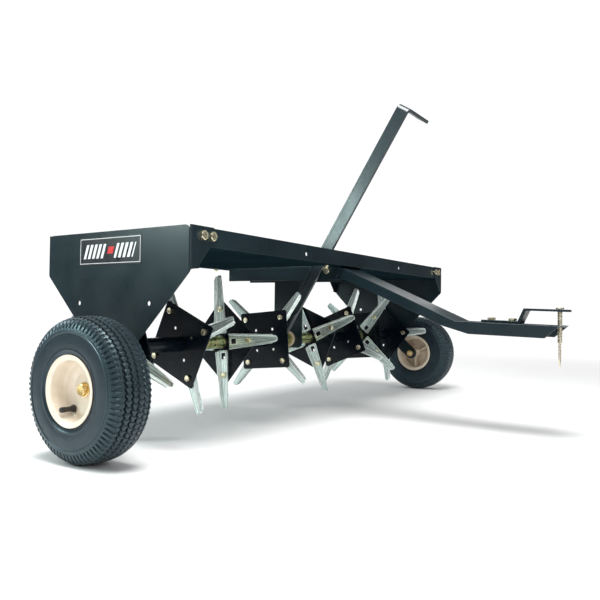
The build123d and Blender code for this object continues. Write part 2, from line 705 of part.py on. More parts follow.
def save_wheel(label, outboard, stem_angle, rib_step):
    """Tyre, rim, bush and valve stem; rib_step is the angle from the stem to the first rib."""
    centre_x = outboard * wheel_x
    stem_y = wheel_y + stem_r_pos * cos(radians(stem_angle))
    stem_z = wheel_z + stem_r_pos * sin(radians(stem_angle))
    save_turned(outboard, tyre_profile, "tyre_%s" % label)
    save_turned(outboard, bush_profile, "hub_bush_%s" % label)

    with BuildPart() as rim:
        revolve_profile(outboard, rim_profile)
        # three ribs between the hub and the barrel, on the inboard side of the disc
        for k in range(3):
            rib_plane = Plane(origin=(centre_x - outboard * 20.0, y_shaft + wheel_y, wheel_z),
                              x_dir=radial(stem_angle + rib_step + 120 * k),
                              z_dir=(outboard, 0, 0))
            with BuildSketch(rib_plane) as rib:
                with Locations(((rib_in + rib_out) / 2, 0)):
                    Rectangle(rib_out - rib_in, rib_w)
            extrude(rib.sketch, amount=24.5)
        drill(side(centre_x - 30.0, stem_y, stem_z), 60, [(0, 0)], 3.6)
    save(rim, "rim_%s" % label)

    stem_plane = Plane(origin=(centre_x + outboard * 2.0, y_shaft + stem_y, stem_z),
                       x_dir=(0, 1, 0), z_dir=(outboard, 0, 0))
    with BuildPart() as stem:
        rod(stem_plane, 3.5, 38)
        rod(stem_plane.offset(9.8), 6.0, 5)
    save(stem, "valve_stem_%s" % label)


save_wheel("right", -1, stem_angle=-56.7, rib_step=-20.0)
save_wheel("left", 1, stem_angle=132.0, rib_step=20.0)

# ---------------------------------------------------------------- axles
# axle bolts: head and washer outboard, nut inboard of the arm
axle_head_x = wheel_x + hub_out + 0.5
axle_grip = axle_head_x - arm_x
axle_flats = 19.0
washer_t = 1.8
axle_planes = [Plane(origin=(outboard * axle_head_x, y_shaft + wheel_y, wheel_z),
                     x_dir=(0, 1, 0), z_dir=(-outboard, 0, 0)) for outboard in (-1, 1)]
with BuildPart() as axle_bolts:
    for plane in axle_planes:
        rod(flipped(plane), 13.0, washer_t)
        hex_head(flipped(plane), axle_flats, washer_t + 7.5)
        rod(plane, axle_r, axle_grip + 13.0)
save(axle_bolts, "axle_bolts")
with BuildPart() as axle_nuts:
    for plane in axle_planes:
        hex_nut(plane, axle_grip, axle_r, axle_flats, 10.0)
save(axle_nuts, "axle_nuts")

# sleeves between the arms and the wheel hubs
axle_spacer_x = arm_x + arm_t + 0.2
axle_spacer_len = 15.5
with BuildPart() as axle_spacers:
    for x in (-axle_spacer_x - axle_spacer_len, axle_spacer_x):
        sleeve(side(x, wheel_y, wheel_z), 10.5, axle_r + 0.03, axle_spacer_len)
save(axle_spacers, "axle_spacers")
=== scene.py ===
# Tow-behind lawn aerator: a tray over four drums of spoons, on two wheels, with a lift lever.
# X runs across the machine with the left wheel at +X, the hitch points to -Y, the ground is z = 0.
# The CAD pieces keep their shape and get materials and rounded edges. The fasteners, tyres, rims
# and valve stems are replaced by finer meshes.
import bpy
import bmesh
from math import acos, atan2, cos, pi, radians, sin, tan
from mathutils import Matrix, Vector

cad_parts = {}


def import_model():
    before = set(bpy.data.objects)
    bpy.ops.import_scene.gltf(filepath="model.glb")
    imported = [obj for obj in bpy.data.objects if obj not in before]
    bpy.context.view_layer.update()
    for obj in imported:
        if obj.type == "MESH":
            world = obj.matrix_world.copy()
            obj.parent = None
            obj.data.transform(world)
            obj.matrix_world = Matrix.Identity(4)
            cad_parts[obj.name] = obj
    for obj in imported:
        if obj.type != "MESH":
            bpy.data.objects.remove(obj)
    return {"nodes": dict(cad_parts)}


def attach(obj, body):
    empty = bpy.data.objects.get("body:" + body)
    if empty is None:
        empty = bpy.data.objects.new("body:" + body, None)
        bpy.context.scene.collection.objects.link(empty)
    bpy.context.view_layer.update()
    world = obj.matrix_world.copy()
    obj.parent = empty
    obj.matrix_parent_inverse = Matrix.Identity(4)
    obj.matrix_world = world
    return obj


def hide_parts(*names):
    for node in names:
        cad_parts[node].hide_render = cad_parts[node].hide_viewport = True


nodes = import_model()["nodes"]
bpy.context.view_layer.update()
scene = bpy.context.scene

# ------------------------------------------------------------------ shared sizes (metres)
MM = 0.001
SHAFT_Y, SHAFT_Z = 0.25775, 0.1936      # axis of the lift shaft and the drums
TYRE_RADIUS = 128.0                     # mm
WHEEL_X = 0.721
WHEEL_Y = SHAFT_Y - 0.0745
WHEEL_Z = TYRE_RADIUS * MM              # the tyre stands on the ground
LEVER_LEAN = radians(32.4)
# drum: two spoon sets, each (x in mm, facing along X, angle of the first spoon in degrees)
DRUMS = {
    1: ((-584.0, -1, 24.0), (-421.5, 1, -21.0)),
    2: ((-273.5, -1, -5.0), (-109.0, 1, 40.0)),
    3: ((109.0, -1, -23.0), (273.5, 1, 22.5)),
    4: ((421.5, -1, 40.0), (584.0, 1, -6.0)),
}


# ------------------------------------------------------------------ node helpers
class Nodes:
    """Short calls for building a node tree; values may be numbers or output sockets."""

    def __init__(self, tree, coords="Object"):
        self.tree = tree
        tree.nodes.clear()
        self.coords = self.node("TexCoord").outputs[coords]

    def node(self, kind, **properties):
        made = self.tree.nodes.new("ShaderNode" + kind)
        for key, value in properties.items():
            setattr(made, key, value)
        return made

    def feed(self, socket, value):
        if hasattr(value, "is_output"):
            self.tree.links.new(value, socket)
        else:
            socket.default_value = value

    def noise(self, scale, detail=3.0, rough=0.5, vec=None):
        n = self.node("TexNoise")
        n.inputs["Scale"].default_value = scale
        n.inputs["Detail"].default_value = detail
        n.inputs["Roughness"].default_value = rough
        self.feed(n.inputs["Vector"], self.coords if vec is None else vec)
        return n.outputs["Fac"]

    def ramp(self, fac, stops):
        """Stops are (position, grey level or colour)."""
        n = self.node("ValToRGB")
        elements = n.color_ramp.elements
        while len(elements) < len(stops):
            elements.new(0.5)
        for element, (position, colour) in zip(elements, stops):
            element.position = position
            rgb = colour if isinstance(colour, tuple) else (colour,) * 3
            element.color = (*rgb, 1)
        self.feed(n.inputs[0], fac)
        return n.outputs[0]

    def span(self, fac, at, to=(0.0, 1.0)):
        """Ramp between the two levels of to, over the two positions of at."""
        return self.ramp(fac, list(zip(at, to)))

    def math(self, operation, *values, clamp=False):
        n = self.node("Math", operation=operation, use_clamp=clamp)
        for socket, value in zip(n.inputs, values):
            self.feed(socket, value)
        return n.outputs[0]

    def mul(self, a, b, clamp=False):
        return self.math("MULTIPLY", a, b, clamp=clamp)

    def add(self, a, b, clamp=False):
        return self.math("ADD", a, b, clamp=clamp)

    def sub(self, a, b, clamp=False):
        return self.math("SUBTRACT", a, b, clamp=clamp)

    def distance(self, value, at):
        return self.math("ABSOLUTE", self.sub(value, at))

    def line(self, value, at, width):
        """1 where value equals at, falling to 0 at width to either side."""
        return self.sub(1.0, self.mul(self.distance(value, at), 1.0 / width), clamp=True)

    def hypot(self, a, b):
        return self.math("SQRT", self.add(self.mul(a, a), self.mul(b, b)))

    def mix(self, fac, a, b):
        n = self.node("Mix", data_type="RGBA")
        self.feed(n.inputs[0], fac)
        for socket, colour in ((n.inputs[6], a), (n.inputs[7], b)):
            self.feed(socket, (*colour, 1) if isinstance(colour, tuple) else colour)
        return n.outputs[2]

    def tint(self, base, colour, mask, strength):
        return self.mix(self.mul(mask, strength), base, colour)

    def map(self, scale=(1, 1, 1), loc=(0, 0, 0), rot=(0, 0, 0), vec=None):
        n = self.node("Mapping")
        n.inputs["Scale"].default_value = scale
        n.inputs["Location"].default_value = loc
        n.inputs["Rotation"].default_value = rot
        self.feed(n.inputs["Vector"], self.coords if vec is None else vec)
        return n.outputs[0]

    def sep(self, vec=None):
        n = self.node("SeparateXYZ")
        self.feed(n.inputs[0], self.coords if vec is None else vec)
        return n.outputs[0], n.outputs[1], n.outputs[2]

    def comb(self, *values):
        n = self.node("CombineXYZ")
        for socket, value in zip(n.inputs, values):
            self.feed(socket, value)
        return n.outputs[0]

    def bump(self, height, strength, dist, normal=None):
        n = self.node("Bump")
        n.inputs["Strength"].default_value = strength
        n.inputs["Distance"].default_value = dist
        self.feed(n.inputs["Height"], height)
        if normal is not None:
            self.feed(n.inputs["Normal"], normal)
        return n.outputs[0]

    def edge(self, radius):
        """1 on sharp outer edges, 0 on flat faces."""
        bevel = self.node("Bevel", samples=4)
        bevel.inputs["Radius"].default_value = radius
        dot = self.node("VectorMath", operation="DOT_PRODUCT")
        self.feed(dot.inputs[0], bevel.outputs[0])
        self.feed(dot.inputs[1], self.node("NewGeometry").outputs["Normal"])
        return self.mul(self.sub(1.0, dot.outputs["Value"]), 4.0, clamp=True)

    def camera_ray(self):
        return self.node("LightPath").outputs["Is Camera Ray"]

    def mix_shader(self, fac, a, b):
        n = self.node("MixShader")
        for socket, value in zip(n.inputs, (fac, a, b)):
            self.feed(socket, value)
        return n.outputs[0]


class Mat(Nodes):
    """A material around one Principled shader."""

    def __init__(self, name):
        self.material = bpy.data.materials.new(name)
        self.material.use_nodes = True
        super().__init__(self.material.node_tree)
        self.surface = self.node("OutputMaterial").inputs[0]
        self.shader = self.node("BsdfPrincipled")
        self.feed(self.surface, self.shader.outputs[0])

    def set(self, **inputs):
        """Shader inputs by name, with _ for a space."""
        for key, value in inputs.items():
            self.feed(self.shader.inputs[key.replace("_", " ")], value)


# ------------------------------------------------------------------ materials
def paint(name, base, light, worn, rough=(0.27, 0.40), specular=0.34, peel=0.10, scratches=1.0):
    """Powder coat: colour drift, orange peel, soft sheet waviness, scratches, thin paint on edges."""
    m = Mat(name)
    drift = m.noise(scale=7.0, detail=4, rough=0.55)
    col = m.mix(m.span(drift, at=(0.35, 0.7)), base, light)
    col = m.tint(col, light, m.noise(scale=420.0, detail=2, rough=0.6), strength=0.18)
    streaks = m.noise(scale=1.0, detail=5, rough=0.7,
                      vec=m.map(scale=(260, 18, 40), rot=(0.3, 0.2, 0.5)))
    scratch = m.span(streaks, at=(0.66, 0.72))
    col = m.tint(col, worn, scratch, strength=0.10 * scratches)
    chips = m.noise(scale=95.0, detail=4, rough=0.65)
    edge = m.mul(m.edge(radius=0.0011), m.span(chips, at=(0.38, 0.62), to=(0.25, 1.0)))
    col = m.tint(col, worn, edge, strength=0.40)
    gloss = m.span(m.noise(scale=16.0, detail=5, rough=0.6), at=(0.3, 0.75), to=rough)
    # 0 on faces that look straight down, 1 on all others
    normal_z = m.sep(m.node("NewGeometry").outputs["Normal"])[2]
    not_down = m.mul(m.add(normal_z, 0.95), 2.5, clamp=True)
    skin = m.bump(m.noise(scale=330.0, detail=2, rough=0.5), strength=peel, dist=0.0004)
    waves = m.noise(scale=5.0, detail=1, rough=0.4)
    m.set(Base_Color=col,
          Roughness=m.add(gloss, m.mul(scratch, 0.06 * scratches)),
          IOR=1.5,
          Specular_IOR_Level=m.mul(not_down, specular),
          Coat_Weight=m.mul(not_down, 0.10),
          Coat_Roughness=0.12,
          Normal=m.bump(waves, strength=0.05, dist=0.004, normal=skin))
    return m.material


def metal(name, dark, light, rough, scale, edge_highlight, bump=0.12, stain=None):
    """Plated or bare metal with blotchy colour, fine bump and a painted highlight on its edges."""
    m = Mat(name)
    blotch = m.noise(scale=scale, detail=4, rough=0.6)
    col = m.mix(m.span(blotch, at=(0.36, 0.66)), dark, light)
    if stain is not None:
        patch = m.noise(scale=scale * 0.45, detail=3, rough=0.5, vec=m.map(loc=(3.1, 1.7, 0.4)))
        col = m.tint(col, stain, m.span(patch, at=(0.48, 0.68)), strength=0.7)
    # painted highlight: the sharp edges tinted towards a lighter colour
    col = m.tint(col, edge_highlight, m.edge(radius=0.0006), strength=0.6)
    gloss = m.noise(scale=scale * 2.2, detail=4, rough=0.6)
    grain = m.noise(scale=scale * 9, detail=3, rough=0.6)
    m.set(Base_Color=col,
          Metallic=1.0,
          Roughness=m.span(gloss, at=(0.3, 0.7), to=rough),
          Normal=m.bump(grain, strength=bump, dist=0.0003))
    return m.material


def galvanised(name, first_deg):
    """Bright zinc sheet with lengthwise striations, for four spoons square to one another.
    first_deg is the angle of the first spoon about the drum axis."""
    m = Mat(name)
    centred = m.map(loc=(0, -SHAFT_Y, -SHAFT_Z))
    x, y, z = m.sep(m.map(rot=(-radians(first_deg), 0, 0), vec=centred))
    abs_y, abs_z = m.math("ABSOLUTE", y), m.math("ABSOLUTE", z)
    across = m.math("MINIMUM", abs_y, abs_z)
    along = m.math("MAXIMUM", abs_y, abs_z)
    side = m.mul(m.math("SIGN", m.mul(y, z)), across)

    def lanes(side_scale, along_scale, x_scale, detail, rough):
        """Noise drawn out along each spoon."""
        stretched = m.comb(m.mul(side, side_scale), m.mul(along, along_scale), m.mul(x, x_scale))
        return m.noise(scale=1.0, detail=detail, rough=rough, vec=stretched)

    fine = lanes(side_scale=900.0, along_scale=9.0, x_scale=700.0, detail=4, rough=0.65)
    broad = lanes(side_scale=260.0, along_scale=5.0, x_scale=200.0, detail=3, rough=0.5)
    spangle = m.node("TexVoronoi")
    spangle.inputs["Scale"].default_value = 150.0
    m.feed(spangle.inputs["Vector"], m.coords)
    col = m.mix(m.span(fine, at=(0.38, 0.62)), (0.54, 0.66, 0.63), (0.74, 0.85, 0.81))
    col = m.tint(col, (0.90, 0.97, 0.94), m.span(broad, at=(0.42, 0.6)), strength=0.30)
    col = m.tint(col, (0.60, 0.72, 0.66), m.sep(spangle.outputs["Color"])[0], strength=0.12)
    # painted highlight: the spoon edges tinted near-white
    edge = m.edge(radius=0.0020)
    col = m.tint(col, (0.96, 0.99, 0.97), edge, strength=0.9)

    # bright painted highlight along the fold and a dark painted shade line (the valley) just inside
    # it, down the tapering web, and a bright painted highlight round the rim of its window
    half_width = m.sub(0.0158, m.mul(along, 0.0661))
    on_web = m.math("LESS_THAN", along, 0.164)
    fold_highlight = m.mul(m.line(across, at=half_width, width=0.0019), on_web)
    fold_shade = m.mul(m.line(across, at=m.sub(half_width, 0.0026), width=0.0013), on_web)
    window = m.math("MAXIMUM", m.sub(m.distance(along, at=0.0335), 0.0075),
                    m.sub(across, 0.00625))
    window_highlight = m.mul(m.line(window, at=0.0008, width=0.0016), m.math("GREATER_THAN", window, -0.0005))
    col = m.tint(col, (0.16, 0.22, 0.22), fold_shade, strength=0.45)
    glint = m.math("MAXIMUM", fold_highlight, window_highlight)
    col = m.tint(col, (0.97, 1.0, 0.98), glint, strength=0.85)
    # the painted highlights are made less metallic so they show near-white
    bright = m.math("MAXIMUM", edge, glint)
    dirt = m.noise(scale=38.0, detail=5, rough=0.65)
    col = m.tint(col, (0.30, 0.34, 0.32), m.span(dirt, at=(0.58, 0.75)), strength=0.22)
    grooves = m.bump(fine, strength=0.13, dist=0.0004)
    grain = m.noise(scale=900.0, detail=2, rough=0.5)
    m.set(Base_Color=col,
          Metallic=m.sub(0.62, m.mul(bright, 0.45)),
          Roughness=m.span(fine, at=(0.3, 0.7), to=(0.20, 0.33)),
          Normal=m.bump(grain, strength=0.08, dist=0.0002, normal=grooves))
    return m.material


def bush_material():
    m = Mat("cream_plastic")
    blotch = m.span(m.noise(scale=90.0, detail=4, rough=0.6), at=(0.3, 0.7))
    col = m.mix(blotch, (0.58, 0.47, 0.30), (0.74, 0.64, 0.45))
    # the edges are tinted lighter: a painted highlight
    m.set(Base_Color=m.tint(col, (0.85, 0.78, 0.6), m.edge(radius=0.0007), strength=0.5),
          Roughness=m.span(m.noise(scale=200.0), at=(0.3, 0.7), to=(0.42, 0.58)),
          Normal=m.bump(m.noise(scale=800.0), strength=0.12, dist=0.0002))
    return m.material


def wheel_coords(m, side):
    """Coordinates from the wheel centre, and the radius about the axle."""
    x, y, z = m.sep(m.map(loc=(-side * WHEEL_X, -WHEEL_Y, -WHEEL_Z)))
    return x, y, z, m.hypot(y, z)


def rim_material(name, side):
    """Ivory enamel with painted shade: warm and soft in the recesses of the dish, in a ring where the
    disc meets the barrel, there broken up by a little road dust, and on the inboard side.
    """
    m = Mat(name)
    x, y, z, radius = wheel_coords(m, side)
    blotch = m.noise(scale=26.0, detail=4, rough=0.6)
    col = m.mix(m.span(blotch, at=(0.35, 0.7)), (0.76, 0.66, 0.53), (0.84, 0.75, 0.63))
    outward = m.mul(x, side)
    dish_face = m.sub(1.0, m.mul(m.distance(outward, at=0.006), 30.0), clamp=True)
    # painted shade: a tan ring where the disc meets the barrel, broken up by specks of road dust
    ring = m.ramp(m.mul(radius, 15.0), [(0.62, 0.0), (0.72, 1.0), (0.80, 0.2)])
    specks = m.span(m.noise(scale=60.0, detail=5, rough=0.7), at=(0.35, 0.7), to=(0.25, 0.8))
    dust_and_shade = m.mul(m.mul(ring, dish_face), specks)
    col = m.tint(col, (0.62, 0.47, 0.29), dust_and_shade, strength=0.28)
    # painted shade: darker tan on the inboard side of the rim, inside the wheel
    inboard_shade = m.ramp(m.add(m.mul(outward, 12.0), 0.5), [(0.15, 1.0), (0.42, 0.55), (0.58, 0.0)])
    col = m.tint(col, (0.74, 0.60, 0.38), inboard_shade, strength=0.14)
    occlusion = m.node("AmbientOcclusion", samples=6)
    occlusion.inputs["Distance"].default_value = 0.035
    shade = m.span(occlusion.outputs["AO"], at=(0.12, 0.62), to=(1.0, 0.0))
    m.set(Base_Color=m.tint(col, (0.52, 0.38, 0.23), shade, strength=0.70),
          Roughness=m.span(m.noise(scale=50.0, detail=4), at=(0.3, 0.7), to=(0.30, 0.46)),
          Coat_Weight=0.35,
          Coat_Roughness=0.18,
          Normal=m.bump(m.noise(scale=240.0, detail=2), strength=0.08, dist=0.0004))
    return m.material


# (radius in metres x 7, colour), from the rim to the tread: darkest at the bead as painted shade
# where the tyre meets the rim, then a paler band on the shoulder
RUBBER_BANDS = [
    (0.43, (0.0022, 0.0045, 0.0100)), (0.60, (0.0035, 0.0075, 0.0150)),
    (0.694, (0.0050, 0.0100, 0.0165)), (0.704, (0.0120, 0.0230, 0.0300)),
    (0.76, (0.0130, 0.0240, 0.0310)), (0.86, (0.0075, 0.0140, 0.0180)),
    (0.90, (0.0060, 0.0110, 0.0145)),
]


def tyre_material(name, side):
    """Rubber: bluish black, a paler band on the shoulder, darker towards the rim with painted shade
    at the bead where it meets the rim, fine mould grain.
    """
    m = Mat(name)
    x, y, z, radius = wheel_coords(m, side)
    band = m.ramp(m.mul(radius, 7.0), RUBBER_BANDS)
    blotch = m.span(m.noise(scale=34.0, detail=5, rough=0.6), at=(0.35, 0.7), to=(0.0, 0.5))
    col = m.mix(blotch, band, (0.014, 0.024, 0.031))
    # streaks drawn out round the wheel
    angle = m.math("ARCTAN2", z, y)
    streak = m.noise(scale=1.0, detail=4, rough=0.6,
                     vec=m.comb(m.mul(angle, 3.0), m.mul(radius, 900.0), 0.0))
    col = m.tint(col, (0.026, 0.040, 0.050), m.span(streak, at=(0.5, 0.72)), strength=0.25)
    gloss = m.noise(scale=90.0, detail=4, rough=0.6)
    grain = m.bump(m.noise(scale=1300.0, detail=3, rough=0.6), strength=0.18, dist=0.0003)
    m.set(Base_Color=col,
          Roughness=m.span(gloss, at=(0.3, 0.7), to=(0.30, 0.46)),
          Specular_IOR_Level=0.58,
          Specular_Tint=(0.62, 0.86, 0.95, 1),
          Sheen_Weight=0.02,
          Sheen_Roughness=0.5,
          Sheen_Tint=(0.55, 0.68, 0.75, 1),
          Normal=m.bump(streak, strength=0.10, dist=0.0004, normal=grain))
    return m.material


def stem_material():
    m = Mat("stem_rubber")
    m.set(Base_Color=m.mix(m.noise(scale=220.0), (0.006, 0.006, 0.007), (0.020, 0.020, 0.021)),
          Roughness=m.span(m.noise(scale=300.0), at=(0.3, 0.7), to=(0.35, 0.55)),
          Normal=m.bump(m.noise(scale=900.0), strength=0.2, dist=0.0002))
    return m.material


def decal_material():
    """Printed vinyl: black, with a thin pale frame, two groups of slanted bars and a red block."""
    m = Mat("decal_print")
    x, y, z = m.sep(m.map(loc=(0, -(SHAFT_Y + 0.011), -0.3835)))
    ahead = m.mul(y, -1.0)      # + towards the hitch
    soft = 0.0003               # width of a printed edge

    def inside(value, low, high):
        above = m.mul(m.sub(value, low), 1.0 / soft, clamp=True)
        below = m.mul(m.sub(high, value), 1.0 / soft, clamp=True)
        return m.mul(above, below)

    def panel(half_length, half_height):
        return m.mul(inside(ahead, -half_length, half_length),
                     inside(z, -half_height, half_height))

    border = m.sub(panel(0.0880, 0.0255), panel(0.0866, 0.0241), clamp=True)
    slant = m.sub(ahead, m.mul(z, 0.35))
    bar_pitch, bar_share = 0.0128, 0.56
    stripe = m.math("LESS_THAN", m.math("FRACT", m.mul(m.add(slant, 0.2), 1.0 / bar_pitch)),
                    bar_share)
    groups = m.add(inside(slant, -0.0720, -0.0100), inside(slant, 0.0180, 0.0720))
    bars = m.mul(m.mul(inside(z, -0.0150, 0.0135), groups), stripe)
    red = m.mul(inside(slant, -0.0045, 0.0120), inside(z, -0.0065, 0.0075))
    blotch = m.span(m.noise(scale=120.0, detail=4), at=(0.3, 0.7))
    col = m.mix(blotch, (0.006, 0.007, 0.009), (0.013, 0.014, 0.017))
    white = m.math("MAXIMUM", m.mul(border, 0.75), bars, clamp=True)
    col = m.mix(white, col, (0.82, 0.83, 0.84))
    relief = m.add(white, m.mul(m.noise(scale=500.0, detail=2), 0.3))
    m.set(Base_Color=m.mix(red, col, (0.60, 0.03, 0.03)),
          Roughness=m.span(m.noise(scale=60.0, detail=4), at=(0.3, 0.7), to=(0.26, 0.40)),
          Normal=m.bump(relief, strength=0.15, dist=0.0003))
    return m.material


frame_paint = paint("frame_paint", base=(0.0050, 0.0130, 0.0175), light=(0.0085, 0.0200, 0.0255),
                    worn=(0.07, 0.11, 0.12))
# the frame paint again, a little lighter and reflecting twice as strongly: a lit copy that paints in
# the light on the lever
lever_paint_lit = paint("lever_paint_lit", base=(0.0055, 0.0130, 0.0180), light=(0.0100, 0.0215, 0.0270),
                    worn=(0.12, 0.16, 0.17), rough=(0.30, 0.38), specular=0.72, peel=0.012,
                    scratches=0.0)
drum_paint = paint("drum_paint", base=(0.0016, 0.0040, 0.0075), light=(0.0030, 0.0068, 0.0115),
                   worn=(0.07, 0.09, 0.10), rough=(0.20, 0.32), specular=0.16)
gold = metal("yellow_zinc", dark=(0.90, 0.77, 0.48), light=(1.0, 0.94, 0.76), rough=(0.20, 0.38),
             scale=180.0, edge_highlight=(1.0, 0.93, 0.72), stain=(0.72, 0.74, 0.46))
deep_gold = metal("yellow_zinc_deep", dark=(0.66, 0.44, 0.14), light=(0.86, 0.66, 0.32),
                  rough=(0.20, 0.36), scale=150.0, edge_highlight=(1.0, 0.88, 0.58),
                  stain=(0.80, 0.62, 0.36))
zinc_tube = metal("zinc_tube", dark=(0.36, 0.40, 0.15), light=(0.62, 0.64, 0.34), rough=(0.2, 0.4),
                  scale=70.0, edge_highlight=(0.9, 0.9, 0.7), stain=(0.55, 0.42, 0.20))
drawn_steel = metal("drawn_steel", dark=(0.46, 0.45, 0.43), light=(0.66, 0.65, 0.62),
                    rough=(0.22, 0.42), scale=50.0, edge_highlight=(0.85, 0.85, 0.83))
pin_zinc = metal("pin_zinc", dark=(0.62, 0.55, 0.38), light=(0.80, 0.75, 0.60),
                 rough=(0.22, 0.36), scale=90.0, bump=0.04, edge_highlight=(0.95, 0.9, 0.78))
cream_plastic = bush_material()
stem_rubber = stem_material()
decal_print = decal_material()


# ------------------------------------------------------------------ mesh helpers
def add_object(name, data):
    obj = bpy.data.objects.new(name, data)
    scene.collection.objects.link(obj)
    return obj


def mesh_from(bm, name):
    mesh = bpy.data.meshes.new(name)
    bm.to_mesh(mesh)
    bm.free()
    return mesh


def add_part(bm, name, material, smooth_deg, body, node):
    """Turns bm into an object that rides on body and stands in for the CAD node."""
    bmesh.ops.recalc_face_normals(bm, faces=bm.faces)
    mesh = mesh_from(bm, name)
    obj = add_object(name, mesh)
    mesh.materials.append(material)
    for polygon in mesh.polygons:
        polygon.use_smooth = True
    mesh.set_sharp_from_angle(angle=radians(smooth_deg))
    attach(obj, body)
    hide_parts(node)


def local_frame(origin, z_dir, x_dir):
    z = Vector(z_dir).normalized()
    x = Vector(x_dir)
    x = (x - z * x.dot(z)).normalized()
    matrix = Matrix((x, z.cross(x), z)).transposed().to_4x4()
    matrix.translation = Vector(origin)
    return matrix


def close_surface(bm, sections):
    """Joins closed sections, set in a circle, into one closed skin."""
    size = len(sections[0])
    for near, far in zip(sections, sections[1:] + sections[:1]):
        for j in range(size):
            k = (j + 1) % size
            bm.faces.new((near[j], near[k], far[k], far[j]))


def rounded(points, steps):
    """Rounds the corners of a closed outline of (axial, radius, corner radius)."""
    out = []
    for i, (*corner, fillet) in enumerate(points):
        p = Vector(corner)
        to_last = Vector(points[i - 1][:2]) - p
        to_next = Vector(points[(i + 1) % len(points)][:2]) - p
        last_len, next_len = to_last.length, to_next.length
        if fillet <= 0 or last_len < 1e-9 or next_len < 1e-9:
            out.append((p.x, p.y))
            continue
        to_last.normalize()
        to_next.normalize()
        half = acos(max(-1.0, min(1.0, to_last.dot(to_next)))) / 2
        if half > pi / 2 - 0.03:        # nearly straight
            out.append((p.x, p.y))
            continue
        setback = min(fillet / tan(half), last_len * 0.48, next_len * 0.48)
        radius = setback * tan(half)
        centre = p + (to_last + to_next).normalized() * (radius / sin(half))
        start = p + to_last * setback - centre
        end = p + to_next * setback - centre
        a0 = atan2(start.y, start.x)
        a1 = atan2(end.y, end.x)
        while a1 - a0 > pi:
            a1 -= 2 * pi
        while a1 - a0 < -pi:
            a1 += 2 * pi
        for k in range(steps + 1):
            t = a0 + (a1 - a0) * k / steps
            out.append((centre.x + radius * cos(t), centre.y + radius * sin(t)))
    return out


def turned(bm, frame, outline, corner_steps, steps):
    """Turns a rounded outline in mm about the local Z axis."""
    profile = [(a * MM, r * MM) for a, r in rounded(outline, corner_steps)]
    sections = []
    for i in range(steps):
        t = 2 * pi * i / steps
        sections.append([bm.verts.new(frame @ Vector((r * cos(t), r * sin(t), a)))
                         for a, r in profile])
    close_surface(bm, sections)


def add_bevelled(bm, frame, block, bevel):
    """Bevels every edge of block, a bmesh in mm, and copies it into bm."""
    bmesh.ops.bevel(block, geom=list(block.edges), offset=bevel, segments=2, profile=0.5,
                    affect="EDGES")
    copies = {v: bm.verts.new(frame @ (v.co * MM)) for v in block.verts}
    for face in block.faces:
        bm.faces.new([copies[v] for v in face.verts])
    block.free()


def soft_box(bm, frame, low, high, bevel):
    """Box between two corners in mm."""
    block = bmesh.new()
    bmesh.ops.create_cube(block, size=1.0)
    for v in block.verts:
        v.co = Vector([(a + b) / 2 + c * (b - a) for a, b, c in zip(low, high, v.co)])
    add_bevelled(bm, frame, block, bevel)


def flat_web(bm, frame, points, half_thick, bevel):
    """Plate with an outline of (local x, local z) in mm."""
    block = bmesh.new()
    low, high = ([block.verts.new((x, y, z)) for x, z in points]
                 for y in (-half_thick, half_thick))
    block.faces.new(low)
    block.faces.new(list(reversed(high)))
    for i in range(len(points)):
        j = (i + 1) % len(points)
        block.faces.new((low[j], low[i], high[i], high[j]))
    bmesh.ops.recalc_face_normals(block, faces=block.faces)
    add_bevelled(bm, frame, block, bevel)


# ------------------------------------------------------------------ bolts and nuts (metres)
def hex_radius(angle, apothem):
    return apothem / cos((angle + pi / 6) % (pi / 3) - pi / 6)


def rings_of(bm, frame, steps, section):
    """One ring of vertices per (radius, z) pair that section(angle) gives."""
    columns = []
    for i in range(steps):
        t = 2 * pi * i / steps
        columns.append([bm.verts.new(frame @ Vector((r * cos(t), r * sin(t), z)))
                        for r, z in section(t)])
    return list(zip(*columns))


def bridge(bm, a, b):
    for i in range(len(a)):
        j = (i + 1) % len(a)
        bm.faces.new((a[i], a[j], b[j], b[i]))


def hex_head(bm, frame, apothem, height, dish, steps=24):
    """Head from z = 0 down to z = -height: washer face, chamfered hexagon, dished top."""
    top = apothem * 0.93

    def section(angle):
        hexagon = hex_radius(angle, apothem)
        return [(apothem * 0.96, 0), (hexagon, -0.00045),
                (hexagon, -(height - (hexagon - top) * 0.55)),
                (top, -height), (top * 0.72, -height + dish)]

    rings = rings_of(bm, frame, steps, section)
    for i in range(steps):
        j = (i + 1) % steps
        for a, b in zip(rings, rings[1:]):
            bm.faces.new((a[i], a[j], b[j], b[i]))
    bm.faces.new(rings[-1])
    bm.faces.new(rings[0][::-1])


def hex_nut(bm, frame, apothem, z0, height, shank_radius, steps=24):
    """Nut from z0 to z0 + height, chamfered on both faces, with a countersunk bore."""
    face = apothem * 0.94
    bore = shank_radius * 1.005
    sink_depth = 0.0006
    z1 = z0 + height

    def outer(angle):
        hexagon = hex_radius(angle, apothem)
        chamfer = (hexagon - face) * 0.55
        return [(bore, z0 + sink_depth), (bore * 1.12, z0), (face, z0),
                (hexagon, z0 + chamfer), (hexagon, z1 - chamfer), (face, z1)]

    rings = rings_of(bm, frame, steps, outer)
    rings += rings_of(bm, frame, steps, lambda _: [(bore * 1.12, z1), (bore, z1 - sink_depth)])
    for a, b in zip(rings, rings[1:] + rings[:1]):
        bridge(bm, a, b)


